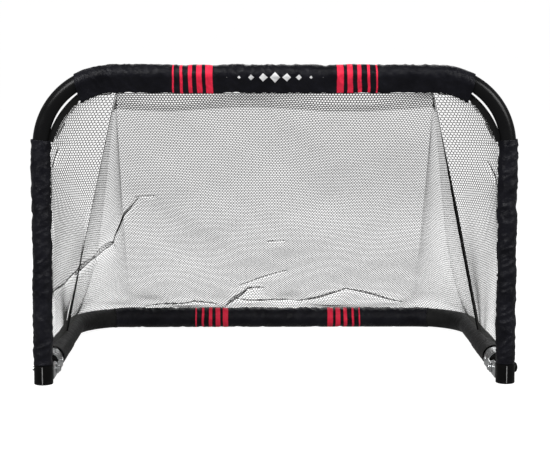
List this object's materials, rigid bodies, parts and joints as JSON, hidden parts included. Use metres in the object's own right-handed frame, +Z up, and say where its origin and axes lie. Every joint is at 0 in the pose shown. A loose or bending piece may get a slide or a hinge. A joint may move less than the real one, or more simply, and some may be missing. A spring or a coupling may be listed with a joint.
{
  "type": "folding mini hockey goal",
  "caption": "Black folding mini goal: bent-tube front and base frames hinged behind the posts, striped fabric sleeves and a sloping mesh net.",
  "frame": {"origin": "centre of the whole goal's footprint, on the floor", "axes": "+X to the right seen from the front, +Y back into the goal, +Z up"},
  "size_m": [0.9204, 0.613, 0.5929],
  "materials": {
    "tube_paint": "gloss black powder coat",
    "sleeve_cloth": "wrinkled black nylon with printed red stripes",
    "side_cloth": "smooth dark woven cloth",
    "net_thread": "fine knotless polyester mesh",
    "binding_tape": "woven black binding tape",
    "black_plastic": "moulded, slightly worn",
    "zinc_steel": "bright zinc plate"
  },
  "bodies": {
    "front_frame": {"front_tube": "tube_paint", "crossbar_sleeve": "sleeve_cloth", "net_back": "net_thread", "post_sleeve_left": "sleeve_cloth", "corner_tape_left": "binding_tape", "net_side_left": "net_thread", "net_seam_tape_left": "binding_tape", "foot_cap_left": "black_plastic", "post_bracket_left": "zinc_steel", "bracket_rivet_lower_left": "zinc_steel", "bracket_rivet_upper_left": "zinc_steel", "pivot_bolt_left": "zinc_steel", "pivot_nut_left": "zinc_steel", "pivot_bush_left": "zinc_steel", "post_sleeve_right": "sleeve_cloth", "corner_tape_right": "binding_tape", "net_side_right": "net_thread", "net_seam_tape_right": "binding_tape", "foot_cap_right": "black_plastic", "post_bracket_right": "zinc_steel", "bracket_rivet_lower_right": "zinc_steel", "bracket_rivet_upper_right": "zinc_steel", "pivot_bolt_right": "zinc_steel", "pivot_nut_right": "zinc_steel", "pivot_bush_right": "zinc_steel"},
    "base_frame": {"base_tube": "tube_paint", "rear_bar_sleeve": "sleeve_cloth", "side_sleeve_left": "side_cloth", "corner_hem_left": "side_cloth", "leg_fitting_left": "zinc_steel", "leg_collar_left": "black_plastic", "leg_plug_left": "black_plastic", "leg_bolt_left": "zinc_steel", "leg_nut_left": "zinc_steel", "side_sleeve_right": "side_cloth", "corner_hem_right": "side_cloth", "leg_fitting_right": "zinc_steel", "leg_collar_right": "black_plastic", "leg_plug_right": "black_plastic", "leg_bolt_right": "zinc_steel", "leg_nut_right": "zinc_steel"}
  },
  "joints": [
    {"name": "base_fold", "type": "hinge", "parent": "front_frame", "child": "base_frame", "pos_m": [0, -0.228, 0.016], "axis": [1, 0, 0], "range_deg": [0, 90], "deforming": ["net_back", "net_side_left", "net_side_right", "net_seam_tape_left", "net_seam_tape_right"]}
  ]
}
